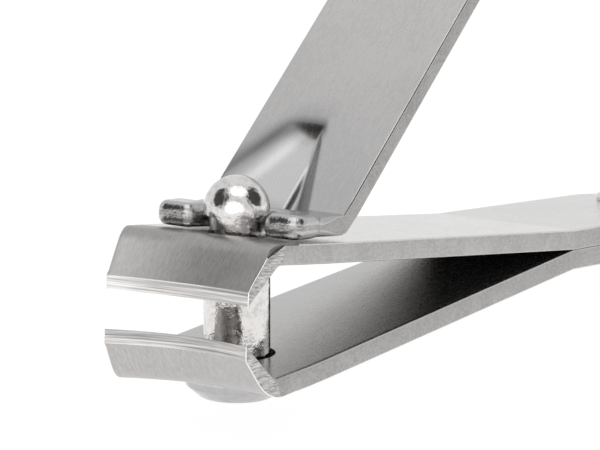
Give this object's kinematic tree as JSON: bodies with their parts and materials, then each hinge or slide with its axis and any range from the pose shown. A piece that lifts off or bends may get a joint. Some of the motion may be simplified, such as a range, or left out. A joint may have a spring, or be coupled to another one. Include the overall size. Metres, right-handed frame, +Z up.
{
  "type": "nail clipper",
  "caption": "Lever nail clipper: two sprung steel arms with hollow-ground jaws, round domed post, forked lever raised ready to press, hollow eyelet at the tail.",
  "frame": {"origin": "middle of the bounding box, at the level of the lowest point, the underside of the tail eyelet", "axes": "+X runs along the lower arm from the tail to the jaws, +Y across the width, +Z up along the post"},
  "size_m": [0.0784, 0.0138, 0.0456],
  "materials": {
    "arm_steel": "brushed",
    "lever_steel": "satin",
    "bright_steel": "polished"
  },
  "bodies": {
    "frame": {"lower_arm": "arm_steel", "upper_arm_tail": "arm_steel", "post": "bright_steel", "tail_eyelet": "bright_steel"},
    "upper_arm": {"upper_arm": "arm_steel"},
    "lever": {"lever": "lever_steel"}
  },
  "joints": [
    {"name": "lever_press", "type": "hinge", "parent": "frame", "child": "lever", "pos_m": [0.02974, 0, 0.01592], "axis": [0, -1, 0], "range_deg": [0, 24], "stiffness_Nm_per_rad": 0.53, "springref_deg": -0.57},
    {"name": "jaw_close", "type": "hinge", "parent": "frame", "child": "upper_arm", "pos_m": [-0.01277, 0, 0.00508], "axis": [0, 1, 0], "range_deg": [0, 3.33]}
  ],
  "couplings": [
    {"joint": "jaw_close", "follows": "lever_press", "ratio": 0.13833}
  ]
}
